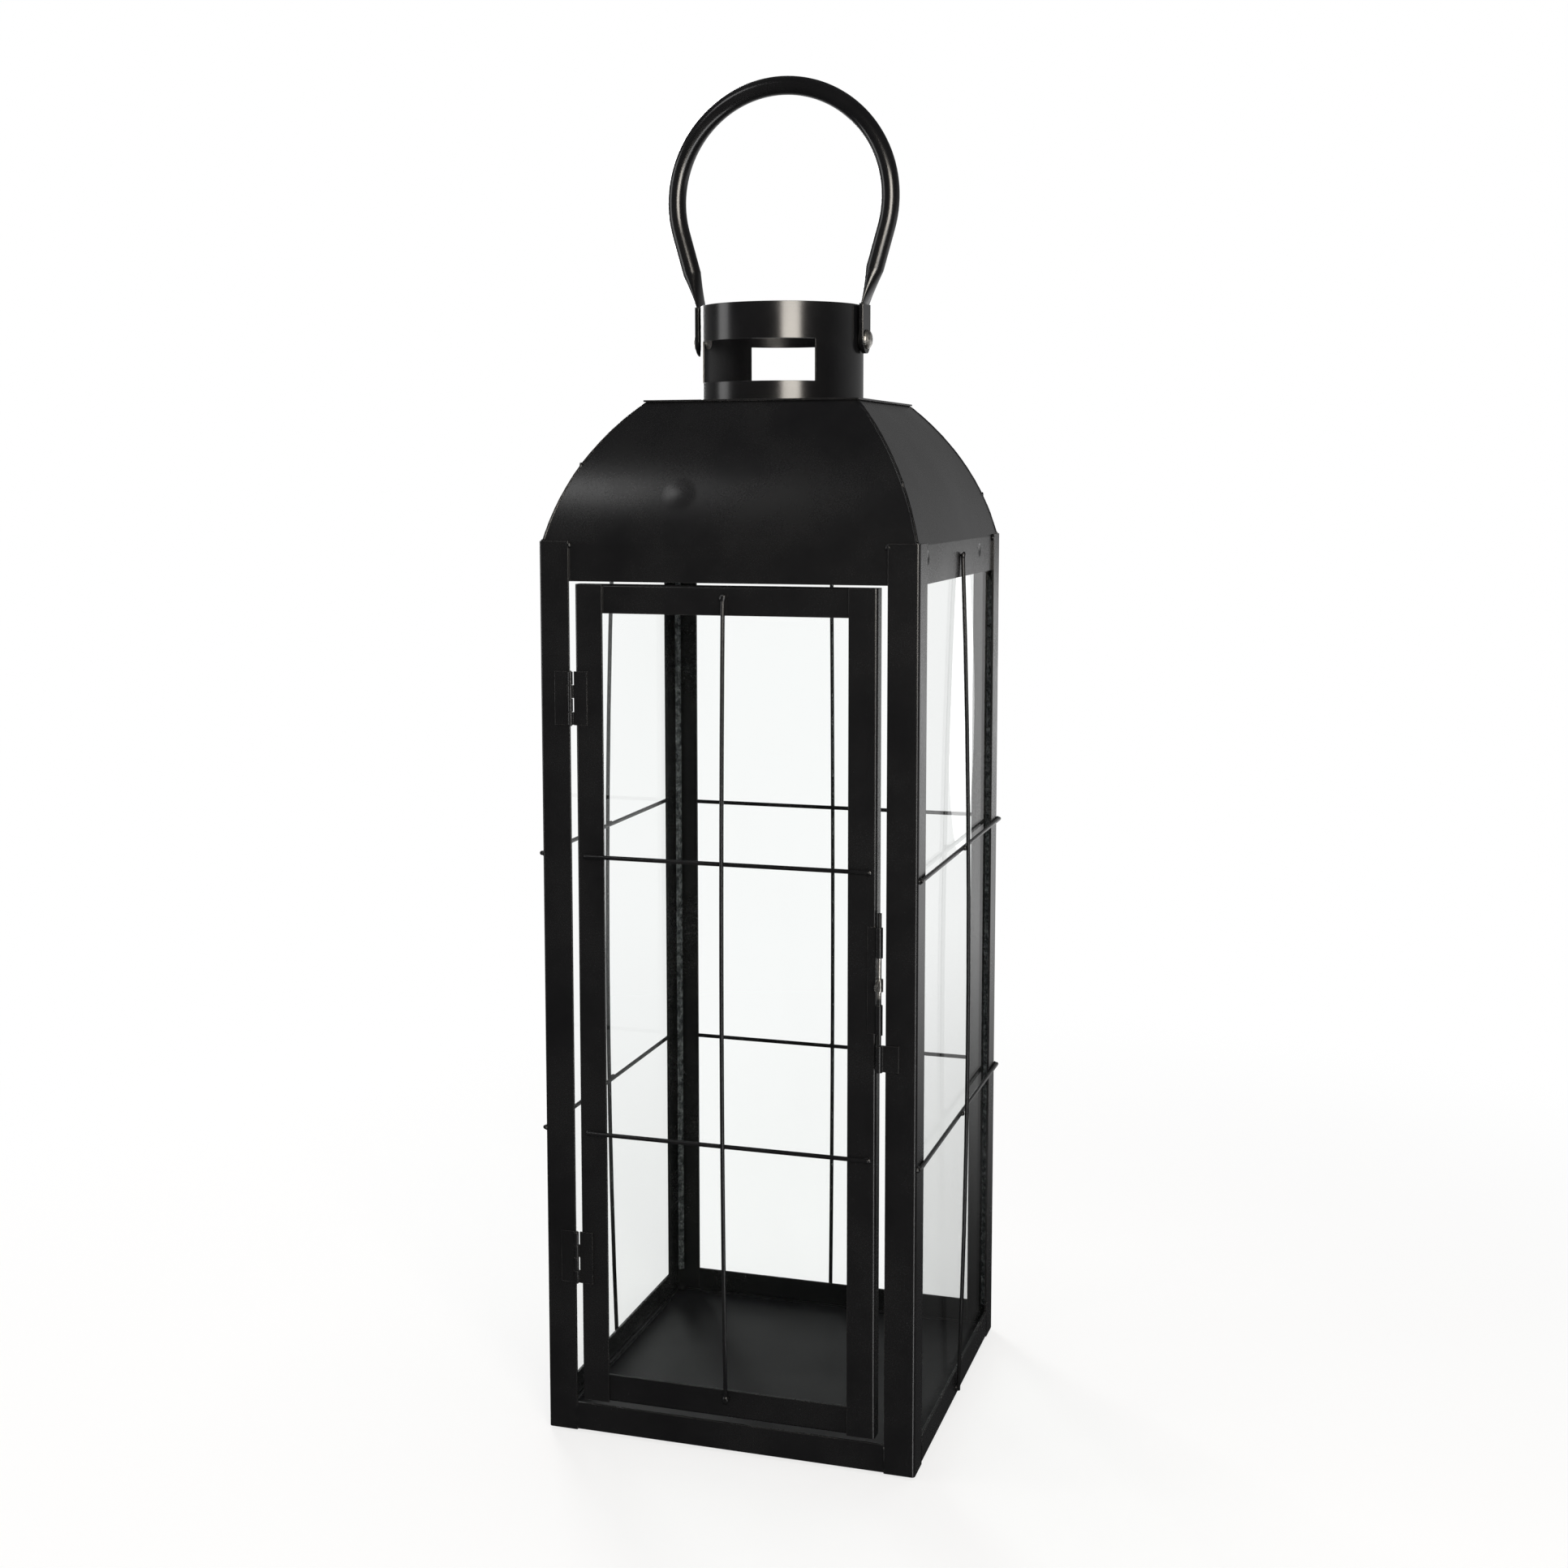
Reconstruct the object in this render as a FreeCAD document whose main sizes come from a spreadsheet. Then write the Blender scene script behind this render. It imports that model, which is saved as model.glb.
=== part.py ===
import FreeCAD, Part
import math
import os

import Sketcher
from FreeCAD import Placement, Rotation, Vector

# Candle lantern: a square sheet-metal house with a hinged glass door, three fixed panes
# behind bowed wires, a four-sided domed roof, a round vent collar and a swinging handle.
# Millimetres. +Z is up and the door faces -Y. The origin is the centre of the square
# that the four feet stand on.

doc = FreeCAD.newDocument("candle_lantern")
sheet = doc.addObject("Spreadsheet::Sheet", "Dimensions")

# Driving dimensions: alias, value, meaning.
DRIVING = [
    ("body_width", 180.0, "outside width of the square body"),
    ("frame_gauge", 1.2, "thickness of the angle bars"),
    ("sheet_gauge", 0.8, "thickness of roof, collar and floor sheet"),
    ("bend_radius", 1.5, "outside bend radius of the angle bars"),
    ("foot_height", 1.2, "body bottom above the table"),
    ("foot_radius", 5.5, "radius of a foot"),
    ("foot_inset", 8.0, "foot centre from each outer face"),
    ("post_flange", 14.5, "flange width of a corner post"),
    ("post_height", 425.0, "length of a corner post"),
    ("rail_height", 13.7, "height of a base rail"),
    ("apron_bottom", 407.8, "lower edge of the roof apron"),
    ("eave_height", 425.2, "where the roof starts to curve"),
    ("roof_top", 490.4, "underside of the roof's top plate"),
    ("roof_top_half", 51.2, "half width of the roof at its top"),
    ("plate_overhang", 1.0, "top plate past the roof panels"),
    ("roof_radius", 125.0, "radius of the roof's curve"),
    ("vent_radius", 37.0, "hole in the top plate under the collar"),
    ("collar_radius", 39.3, "outer radius of the collar"),
    ("collar_height", 45.6, "height of the collar"),
    ("window_sill", 8.9, "window's lower edge above the top plate"),
    ("window_height", 19.6, "height of a collar window"),
    ("window_angle", 99.2, "angle that a collar window spans"),
    ("window_turn", -9.4, "turn of the windows from the front, to the right"),
    ("pivot_height", 520.6, "handle pivot"),
    ("rivet_radius", 2.0, "rivet shank"),
    ("rivet_head_radius", 4.7, "rivet head"),
    ("rivet_head_height", 2.6, "rivet head"),
    ("spacer_thickness", 0.8, "spacer between the collar and the handle"),
    ("spacer_radius", 5.2, "spacer washer"),
    ("handle_tube_radius", 4.4, "round part of the handle"),
    ("handle_loop_radius", 53.5, "centre line of the handle's loop"),
    ("handle_loop_height", 587.7, "centre of the handle's loop"),
    ("strap_width", 13.5, "flattened end of the handle"),
    ("strap_thickness", 2.0, "flattened end of the handle"),
    ("strap_top", 537.2, "where the flattened end begins to open into the tube"),
    ("flare_length", 17.0, "length of the change from strap to tube"),
    ("door_left", -72.5, "hinge-side edge of the door"),
    ("door_right", 71.1, "latch-side edge of the door"),
    ("door_bottom", 16.9, "lower edge of the door"),
    ("door_top", 406.6, "upper edge of the door"),
    ("door_member", 13.3, "face width of the door's stiles and rails"),
    ("door_depth", 7.0, "depth of the door frame"),
    ("glass_gauge", 2.0, "thickness of a pane"),
    ("bead_leg", 2.4, "leg of a sealant fillet"),
    ("wire_radius", 1.0, "decorative wires"),
    ("wire_inset", 1.5, "end of a level wire from the body's corner"),
    ("wire_overhang", 1.3, "side wires past the back corners"),
    ("wire_bow", 3.9, "how far an upright wire bows outward"),
    ("hinge_height", 25.0, "length of a butt hinge"),
    ("hinge_leaf", 8.0, "width of a hinge leaf from the pin"),
    ("hinge_leaf_gauge", 0.8, "thickness of hinge, guide and keeper leaves"),
    ("hinge_barrel", 1.15, "outer radius of a hinge knuckle"),
    ("hinge_pin", 0.6, "radius of a hinge pin"),
    ("hinge_axis_x", -74.5, "hinge axis across the front"),
    ("bolt_axis_x", 72.9, "latch bolt's axis across the front"),
    ("bolt_radius", 1.0, "latch bolt"),
    ("guide_barrel", 1.6, "outer radius of the latch knuckles"),
    ("guide_bottom", 206.9, "lower end of the latch guide"),
    ("guide_top", 255.7, "upper end of the latch guide"),
    ("guide_knuckle", 13.6, "length of a guide knuckle"),
    ("keeper_bottom", 189.8, "lower end of the keeper"),
    ("keeper_height", 12.1, "length of the keeper"),
    ("running_clearance", 0.05, "radial play of a turning or sliding fit"),
]
HINGE_MIDDLES = {"upper": 353.9, "lower": 87.1}
# Heights of the wires above the table; the bars were spaced by hand, so the sides differ.
WIRE_HEIGHTS = {
    "door": {"upper": 280.2, "lower": 148.2},
    "left": {"upper": 280.3, "lower": 148.3},
    "right": {"upper": 277.0, "lower": 145.4},
    "back": {"upper": 278.7, "lower": 147.8},
}


class Dim:
    """A length known both as a number and as the spreadsheet expression that drives it."""

    def __init__(self, value, text):
        self.value = float(value)
        self.text = text

    @staticmethod
    def of(other):
        return other if isinstance(other, Dim) else Dim(other, repr(float(other)))

    def combine(self, other, sign, value):
        return Dim(value, f"({self.text} {sign} {Dim.of(other).text})")

    def __add__(self, other):
        return self.combine(other, "+", self.value + Dim.of(other).value)

    def __radd__(self, other):
        return Dim.of(other) + self

    def __sub__(self, other):
        return self.combine(other, "-", self.value - Dim.of(other).value)

    def __rsub__(self, other):
        return Dim.of(other) - self

    def __mul__(self, other):
        return self.combine(other, "*", self.value * Dim.of(other).value)

    def __rmul__(self, other):
        return Dim.of(other) * self

    def __truediv__(self, other):
        return self.combine(other, "/", self.value / Dim.of(other).value)

    def __neg__(self):
        return self * -1


cells = {}
for row, (alias, value, meaning) in enumerate(DRIVING, start=1):
    sheet.set(f"A{row}", alias)
    sheet.set(f"B{row}", str(value))
    sheet.set(f"C{row}", meaning)
    sheet.setAlias(f"B{row}", alias)
    cells[alias] = Dim(value, f"Dimensions.{alias}")
doc.recompute()

# Levels and planes that several sub-parts share.
half = cells["body_width"] / 2
frame_gauge = cells["frame_gauge"]
sheet_gauge = cells["sheet_gauge"]
base = cells["foot_height"]
inner_face = half - frame_gauge
post_edge = half - cells["post_flange"]
floor_under = base + frame_gauge
floor_top = floor_under + sheet_gauge
plate_top = cells["roof_top"] + sheet_gauge
pane_outer = inner_face - sheet_gauge - 0.1
pane_inner = pane_outer - cells["glass_gauge"]
front = -half
wire_radius = cells["wire_radius"]
play = cells["running_clearance"]

sub_parts = []


# ---------------------------------------------------------------- helpers
def bind(obj, prop, dim):
    """Drive one property of an object from the spreadsheet."""
    obj.setExpression(prop, Dim.of(dim).text)


def keep(obj, label):
    """Name an object as a sub-part that gets a file of its own."""
    obj.Label = label
    sub_parts.append(obj)
    return obj


def place(obj, x=None, y=None, z=None):
    for axis, dim in (("x", x), ("y", y), ("z", z)):
        if dim is not None:
            bind(obj, f"Placement.Base.{axis}", dim)
    return obj


def box(name, low, high):
    """A block between two corners."""
    block = doc.addObject("Part::Box", name)
    for prop, low_dim, high_dim in zip(("Length", "Width", "Height"), low, high):
        bind(block, prop, Dim.of(high_dim) - low_dim)
    return place(block, *low)


def cylinder(name, radius, height, foot, axis=(0, 0, 1)):
    """A round bar that starts at foot and runs along axis."""
    bar = doc.addObject("Part::Cylinder", name)
    bar.Placement = Placement(Vector(), Rotation(Vector(0, 0, 1), Vector(*axis)))
    bind(bar, "Radius", radius)
    bind(bar, "Height", height)
    return place(bar, *foot)


def fuse(name, shapes):
    joined = doc.addObject("Part::MultiFuse", name)
    joined.Shapes = shapes
    joined.Refine = True
    return joined


def cut(name, blank, tool):
    result = doc.addObject("Part::Cut", name)
    result.Base = blank
    result.Tool = tool
    return result


def group(name, shapes):
    """Several separate solids that share one sub-part."""
    compound = doc.addObject("Part::Compound", name)
    compound.Links = shapes
    return compound


def new_body(label):
    body = doc.addObject("PartDesign::Body", label)
    return keep(body, label)


def sketch_on(body, name, role, lift=None):
    """A sketch on one of the body's own origin planes, moved along its normal by lift."""
    sketch = body.newObject("Sketcher::SketchObject", name)
    plane = next(item for item in body.Origin.OriginFeatures if item.Role == role)
    sketch.AttachmentSupport = (plane, "")
    sketch.MapMode = "FlatFace"
    if lift is not None:
        bind(sketch, "AttachmentOffset.Base.z", lift)
    return sketch


def pin_point(sketch, geometry, point, x=None, y=None):
    """Fix a sketch point's distance from the sketch origin."""
    for kind, dim in (("DistanceX", x), ("DistanceY", y)):
        if dim is None:
            continue
        dim = Dim.of(dim)
        index = sketch.addConstraint(
            Sketcher.Constraint(kind, -1, 1, geometry, point, dim.value))
        bind(sketch, f"Constraints[{index}]", dim)


def join(sketch, first, second):
    sketch.addConstraint(Sketcher.Constraint("Coincident", first, 2, second, 1))


def vector(x, y):
    return Vector(Dim.of(x).value, Dim.of(y).value, 0)


def polygon(sketch, points):
    """A closed outline whose corners are all driven by the spreadsheet."""
    lines = []
    for start, end in zip(points, points[1:] + points[:1]):
        lines.append(sketch.addGeometry(Part.LineSegment(vector(*start), vector(*end))))
    for line, following in zip(lines, lines[1:] + lines[:1]):
        join(sketch, line, following)
    for line, (x, y) in zip(lines, points):
        pin_point(sketch, line, 1, x, y)


def circle(sketch, x, y, radius):
    radius = Dim.of(radius)
    index = sketch.addGeometry(Part.Circle(vector(x, y), Vector(0, 0, 1), radius.value))
    pin_point(sketch, index, 3, x, y)
    number = sketch.addConstraint(Sketcher.Constraint("Radius", index, radius.value))
    bind(sketch, f"Constraints[{number}]", radius)


def pad(body, name, sketch, length, reverse=False):
    feature = body.newObject("PartDesign::Pad", name)
    feature.Profile = sketch
    feature.Reversed = reverse
    bind(feature, "Length", length)
    return feature


def pocket_through(body, name, sketch):
    """Cut a sketch right through the body, both ways."""
    feature = body.newObject("PartDesign::Pocket", name)
    feature.Profile = sketch
    feature.Type = "ThroughAll"
    feature.Midplane = True
    return feature


def round_edges(body, name, feature, radius, wanted):
    """Round the edges of a feature whose two ends both satisfy wanted."""
    doc.recompute()
    names = []
    for index, edge in enumerate(feature.Shape.Edges, start=1):
        if all(wanted(vertex.Point) for vertex in edge.Vertexes):
            names.append(f"Edge{index}")
    fillet = body.newObject("PartDesign::Fillet", name)
    fillet.Base = (feature, names)
    bind(fillet, "Radius", radius)
    return fillet


def round_heel(body, label, feature, first_axis, second_axis, heel):
    """Round the outside bend of an angle bar; heel is its place on the two section axes."""
    spot = [Dim.of(dim).value for dim in heel]

    def at_heel(point):
        return (abs(getattr(point, first_axis) - spot[0]) < 0.01
                and abs(getattr(point, second_axis) - spot[1]) < 0.01)

    return round_edges(body, label + "_bend", feature, cells["bend_radius"], at_heel)


def angle_outline(heel, leg_x, leg_y, gauge):
    """The L section of an angle bar; leg_x and leg_y are signed, away from the heel."""
    heel_x, heel_y = heel
    gauge_x = gauge * math.copysign(1, Dim.of(leg_x).value)
    gauge_y = gauge * math.copysign(1, Dim.of(leg_y).value)
    return [
        (heel_x, heel_y),
        (heel_x + leg_x, heel_y),
        (heel_x + leg_x, heel_y + gauge_y),
        (heel_x + gauge_x, heel_y + gauge_y),
        (heel_x + gauge_x, heel_y + leg_y),
        (heel_x, heel_y + leg_y),
    ]


# ---------------------------------------------------------------- body frame
def corner_post(label, side_x, side_y):
    """An upright angle bar whose heel is the body's corner."""
    body = new_body(label)
    sketch = sketch_on(body, label + "_section", "XY_Plane", base)
    flange = cells["post_flange"]
    heel = (half * side_x, half * side_y)
    polygon(sketch, angle_outline(heel, flange * -side_x, flange * -side_y, frame_gauge))
    bar = pad(body, label + "_pad", sketch, cells["post_height"])
    round_heel(body, label, bar, "x", "y", heel)


def base_rail(label, turn):
    """An angle bar between two posts; its flat leg carries the floor."""
    body = new_body(label)
    sketch = sketch_on(body, label + "_section", "YZ_Plane", -post_edge)
    heel = (front, base)
    polygon(sketch, angle_outline(heel, cells["post_flange"], cells["rail_height"], frame_gauge))
    bar = pad(body, label + "_pad", sketch, post_edge * 2)
    round_heel(body, label, bar, "y", "z", heel)
    body.Placement = Placement(Vector(), Rotation(Vector(0, 0, 1), turn))


def floor_plate():
    body = new_body("floor_plate")
    sketch = sketch_on(body, "floor_outline", "XY_Plane", floor_under)
    edge = inner_face - 0.1
    polygon(sketch, [(-edge, -edge), (edge, -edge), (edge, edge), (-edge, edge)])
    pad(body, "floor_pad", sketch, sheet_gauge)


def feet():
    reach = half - cells["foot_inset"]
    pads = []
    for index, (side_x, side_y) in enumerate(((-1, -1), (1, -1), (-1, 1), (1, 1))):
        foot = (reach * side_x, reach * side_y, 0)
        pads.append(cylinder(f"foot_{index}", cells["foot_radius"], floor_under, foot))
    keep(group("feet", pads), "feet")


# ---------------------------------------------------------------- roof and collar
def roof_panel(label, turn):
    """One side of the roof: a flat apron that turns into a convex arc, mitred at the hips."""
    body = new_body(label)
    sketch = sketch_on(body, label + "_section", "YZ_Plane", -half)
    apron_bottom, eave = cells["apron_bottom"], cells["eave_height"]
    top, top_half, radius = cells["roof_top"], cells["roof_top_half"], cells["roof_radius"]
    outer_eave = Vector(-inner_face.value, eave.value, 0)
    outer_top = Vector(-top_half.value, top.value, 0)
    chord = outer_top - outer_eave
    sag = math.sqrt(radius.value ** 2 - (chord.Length / 2) ** 2)
    centre = (outer_eave + outer_top) / 2 + Vector(chord.y, -chord.x, 0).normalize() * sag
    inner_radius = radius - sheet_gauge

    def on_inner(height):
        run = math.sqrt(inner_radius.value ** 2 - (height - centre.y) ** 2)
        return Vector(centre.x - run, height, 0)

    def arc(curve_radius, lower, upper):
        start = math.atan2(upper.y - centre.y, upper.x - centre.x)
        end = math.atan2(lower.y - centre.y, lower.x - centre.x)
        ring = Part.Circle(centre, Vector(0, 0, 1), curve_radius.value)
        index = sketch.addGeometry(Part.ArcOfCircle(ring, start, end))
        number = sketch.addConstraint(
            Sketcher.Constraint("Radius", index, curve_radius.value))
        bind(sketch, f"Constraints[{number}]", curve_radius)
        return index

    inner_eave, inner_top = on_inner(eave.value), on_inner(top.value)
    apron_outer = Vector(outer_eave.x, apron_bottom.value, 0)
    apron_inner = Vector(inner_eave.x, apron_bottom.value, 0)
    outer_arc = arc(radius, outer_eave, outer_top)
    inner_arc = arc(inner_radius, inner_eave, inner_top)
    outer_line = sketch.addGeometry(Part.LineSegment(outer_eave, apron_outer))
    bottom_line = sketch.addGeometry(Part.LineSegment(apron_outer, apron_inner))
    inner_line = sketch.addGeometry(Part.LineSegment(apron_inner, inner_eave))
    top_line = sketch.addGeometry(Part.LineSegment(inner_top, outer_top))
    # An arc's first point is its upper end and its second is its lower end.
    join(sketch, outer_arc, outer_line)
    join(sketch, outer_line, bottom_line)
    join(sketch, bottom_line, inner_line)
    sketch.addConstraint(Sketcher.Constraint("Coincident", inner_line, 2, inner_arc, 2))
    sketch.addConstraint(Sketcher.Constraint("Coincident", inner_arc, 1, top_line, 1))
    sketch.addConstraint(Sketcher.Constraint("Coincident", top_line, 2, outer_arc, 1))
    sketch.addConstraint(Sketcher.Constraint("Coincident", outer_arc, 3, inner_arc, 3))
    sketch.addConstraint(Sketcher.Constraint("Vertical", inner_line))
    pin_point(sketch, outer_line, 1, -inner_face, eave)
    pin_point(sketch, outer_line, 2, -inner_face, apron_bottom)
    pin_point(sketch, top_line, 2, -top_half, top)
    pin_point(sketch, bottom_line, 2, y=apron_bottom)
    pin_point(sketch, inner_line, 2, y=eave)
    pin_point(sketch, top_line, 1, y=top)
    pad(body, label + "_pad", sketch, cells["body_width"])
    doc.recompute()
    hips = sketch_on(body, label + "_hips", "XY_Plane", eave)
    near, far = top_half / 2, cells["body_width"]
    for side in (-1, 1):
        polygon(hips, [(near * side, -near), (far * side, -far), (far * side, -near)])
    pocket_through(body, label + "_mitre", hips)
    body.Placement = Placement(Vector(), Rotation(Vector(0, 0, 1), turn))


def roof_top_plate():
    body = new_body("roof_top_plate")
    sketch = sketch_on(body, "top_plate_outline", "XY_Plane", cells["roof_top"])
    edge = cells["roof_top_half"] + cells["plate_overhang"]
    polygon(sketch, [(-edge, -edge), (edge, -edge), (edge, edge), (-edge, edge)])
    circle(sketch, 0, 0, cells["vent_radius"])
    pad(body, "top_plate_pad", sketch, sheet_gauge)


def collar():
    """A rolled ring with two windows and a hole on each side for the handle's rivets."""
    radius, height = cells["collar_radius"], cells["collar_height"]
    outer = cylinder("collar_outer", radius, height, (0, 0, plate_top))
    bore = cylinder("collar_bore", radius - sheet_gauge, height, (0, 0, plate_top))
    tools = [bore]
    for name, facing in (("front", -90), ("back", 90)):
        wedge = cylinder(f"collar_window_{name}", radius + 5, cells["window_height"],
                         (0, 0, plate_top + cells["window_sill"]))
        bind(wedge, "Angle", cells["window_angle"])
        bind(wedge, "Placement.Rotation.Angle",
             cells["window_turn"] + facing - cells["window_angle"] / 2)
        tools.append(wedge)
    holes = cylinder("collar_rivet_holes", cells["rivet_radius"], radius * 2 + 10,
                     (-radius - 5, 0, cells["pivot_height"]), (1, 0, 0))
    tools.append(holes)
    keep(cut("collar", outer, fuse("collar_tools", tools)), "collar")


def revolved(label, outline, side):
    """Turn an outline of (distance out from the collar's axis, radius) about the pivot axis."""
    body = new_body(label)
    sketch = sketch_on(body, label + "_outline", "XZ_Plane")
    pivot = cells["pivot_height"]
    polygon(sketch, [(reach * side, pivot + radius) for reach, radius in outline])
    axis = sketch.addGeometry(Part.LineSegment(vector(0, pivot), vector(side, pivot)), True)
    pin_point(sketch, axis, 1, 0, pivot)
    pin_point(sketch, axis, 2, side, pivot)
    feature = body.newObject("PartDesign::Revolution", label + "_turned")
    feature.Profile = sketch
    feature.ReferenceAxis = (sketch, ["Axis0"])
    feature.Angle = 360


strap_inner = cells["collar_radius"] + 0.05 + cells["spacer_thickness"] + 0.1
strap_outer = strap_inner + cells["strap_thickness"]


def handle_rivet(label, side):
    """A domed rivet: tail inside the collar, shank through the handle, head outside."""
    wall = cells["collar_radius"] - sheet_gauge
    shank, head = cells["rivet_radius"], cells["rivet_head_radius"]
    under = strap_outer + 0.1
    rise = cells["rivet_head_height"]
    revolved(label, [
        (wall - 1.8, Dim.of(0)),
        (wall - 1.8, shank * 1.2),
        (wall - 1.1, shank * 1.6),
        (wall - 0.3, shank * 1.6),
        (wall - 0.3, shank),
        (under, shank),
        (under, head),
        (under + rise * 0.25, head * 0.97),
        (under + rise * 0.55, head * 0.83),
        (under + rise * 0.80, head * 0.60),
        (under + rise * 0.95, head * 0.32),
        (under + rise, Dim.of(0)),
    ], side)


def handle_spacer(label, side):
    near = cells["collar_radius"] + 0.05
    far = near + cells["spacer_thickness"]
    hole = cells["rivet_radius"] + play
    ring = cells["spacer_radius"]
    revolved(label, [(near, hole), (far, hole), (far, ring), (near, ring)], side)


# ---------------------------------------------------------------- handle
def handle():
    """A tube bent to a loop; each end flares into a flat strap with a rivet hole."""
    body = new_body("handle")
    loop, centre = cells["handle_loop_radius"], cells["handle_loop_height"]
    tube, pivot = cells["handle_tube_radius"], cells["pivot_height"]
    strap_middle = (strap_inner + strap_outer) / 2
    strap_top = cells["strap_top"]
    # The straight leg leaves the strap's top and is tangent to the loop.
    reach = math.hypot(strap_middle.value, centre.value - strap_top.value)
    bearing = math.atan2(centre.value - strap_top.value, -strap_middle.value)
    slope = bearing - math.asin(loop.value / reach)
    leg = math.sqrt(reach ** 2 - loop.value ** 2)
    direction = Vector(math.cos(slope), math.sin(slope), 0)
    start = vector(strap_middle, strap_top)
    touch = start + direction * leg
    flare_end = start + direction * cells["flare_length"].value

    path = sketch_on(body, "handle_path", "XZ_Plane")
    ring = Part.Circle(vector(0, centre), Vector(0, 0, 1), loop.value)
    touch_angle = math.atan2(touch.y - centre.value, touch.x)
    arc = path.addGeometry(Part.ArcOfCircle(ring, touch_angle, math.pi / 2))
    line = path.addGeometry(Part.LineSegment(touch, flare_end))
    path.addConstraint(Sketcher.Constraint("Tangent", arc, 1, line, 1))
    pin_point(path, arc, 3, 0, centre)
    pin_point(path, arc, 2, 0)
    number = path.addConstraint(Sketcher.Constraint("Radius", arc, loop.value))
    bind(path, f"Constraints[{number}]", loop)
    pin_point(path, line, 2, flare_end.x, flare_end.y)

    section = sketch_on(body, "handle_section", "YZ_Plane")
    circle(section, 0, centre + loop, tube)
    pipe = body.newObject("PartDesign::AdditivePipe", "handle_tube")
    pipe.Profile = section
    pipe.Spine = path
    doc.recompute()

    def flare_section(name, fraction, wide, thin):
        """A section of the flare: wide along Y, thin across the leg."""
        sketch = sketch_on(body, name, "XY_Plane")
        spot = start + direction * (cells["flare_length"].value * fraction)
        lean = math.degrees(math.pi / 2 - slope) * min(1.0, fraction * 2)
        sketch.AttachmentOffset = Placement(
            Vector(spot.x, 0, spot.y), Rotation(Vector(0, 1, 0), lean))
        if wide > thin:
            sketch.addGeometry(Part.Ellipse(Vector(0, wide, 0), Vector(thin, 0, 0), Vector()))
        else:
            sketch.addGeometry(Part.Circle(Vector(), Vector(0, 0, 1), thin))
        return sketch

    width, thick = cells["strap_width"].value / 2, cells["strap_thickness"].value / 2
    round_end = flare_section("flare_round", 1.0, tube.value, tube.value)
    middle = flare_section("flare_middle", 0.5, (tube.value + width) / 2, tube.value * 0.62)
    flat_end = flare_section("flare_flat", 0.0, width, thick * 1.15)
    loft = body.newObject("PartDesign::AdditiveLoft", "handle_flare")
    loft.Profile = round_end
    loft.Sections = [middle, flat_end]
    doc.recompute()

    strap = sketch_on(body, "strap_outline", "YZ_Plane", strap_inner)
    side = cells["strap_width"] / 2
    left = strap.addGeometry(Part.LineSegment(vector(-side, strap_top), vector(-side, pivot)))
    end = strap.addGeometry(Part.ArcOfCircle(
        Part.Circle(vector(0, pivot), Vector(0, 0, 1), side.value), math.pi, 2 * math.pi))
    right = strap.addGeometry(Part.LineSegment(vector(side, pivot), vector(side, strap_top)))
    top = strap.addGeometry(Part.LineSegment(vector(side, strap_top), vector(-side, strap_top)))
    strap.addConstraint(Sketcher.Constraint("Tangent", left, 2, end, 1))
    strap.addConstraint(Sketcher.Constraint("Tangent", end, 2, right, 1))
    join(strap, right, top)
    join(strap, top, left)
    pin_point(strap, left, 1, -side, strap_top)
    pin_point(strap, right, 2, side, strap_top)
    pin_point(strap, end, 3, 0, pivot)
    circle(strap, 0, pivot, cells["rivet_radius"] + play)
    plate = pad(body, "handle_strap", strap, cells["strap_thickness"])
    doc.recompute()

    mirrored = body.newObject("PartDesign::Mirrored", "handle_mirror")
    mirrored.Originals = [pipe, loft, plate]
    mirror_plane = next(item for item in body.Origin.OriginFeatures if item.Role == "YZ_Plane")
    mirrored.MirrorPlane = (mirror_plane, [""])
    body.Tip = mirrored


# ---------------------------------------------------------------- glass
def pane(label, low, high):
    keep(box(label, low, high), label)


def fixed_panes():
    bottom, top = floor_top + 0.2, cells["eave_height"] - 5
    edge = inner_face - sheet_gauge - 0.3
    for label, side in (("glass_left", -1), ("glass_right", 1)):
        faces = sorted((pane_inner * side, pane_outer * side), key=lambda dim: dim.value)
        pane(label, (faces[0], -edge, bottom), (faces[1], edge, top))
    back_edge = pane_inner - 0.3
    pane("glass_back", (-back_edge, pane_inner, bottom), (back_edge, pane_outer, top))


def sealant(label, corners, bottom, top):
    """Right-angled fillets of clear sealant along upright corners, one solid each."""
    strips = []
    leg = cells["bead_leg"]
    for index, (x, y, side_x, side_y) in enumerate(corners):
        name = f"{label}_{index}"
        prism = doc.addObject("Part::Extrusion", name)
        outline = doc.addObject("Sketcher::SketchObject", name + "_outline")
        polygon(outline, [(x, y), (x + leg * side_x, y), (x, y + leg * side_y)])
        bind(outline, "Placement.Base.z", bottom)
        prism.Base = outline
        prism.DirMode = "Custom"
        prism.Dir = Vector(0, 0, 1)
        prism.Solid = True
        bind(prism, "LengthFwd", top - bottom)
        strips.append(prism)
    keep(group(label, strips), label)


def fixed_sealant():
    corners = [
        (-pane_inner, -inner_face, 1, 1),
        (pane_inner, -inner_face, -1, 1),
        (-pane_inner, pane_inner, 1, -1),
        (pane_inner, pane_inner, -1, -1),
    ]
    sealant("glass_sealant", corners, cells["rail_height"] + base, cells["apron_bottom"] - 6)


# ---------------------------------------------------------------- wires
def straight_wire(label, height, side):
    """A level wire on the outer faces of two posts."""
    inset = cells["wire_inset"]
    length = (half - inset) * 2
    away = half + wire_radius
    if side == "back":
        wire = cylinder(label, wire_radius, length, (-half + inset, away, height), (1, 0, 0))
    else:
        x = away if side == "right" else -away
        wire = cylinder(label, wire_radius, length + inset + cells["wire_overhang"],
                        (x, -half + inset, height), (0, 1, 0))
    keep(wire, label)


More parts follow.
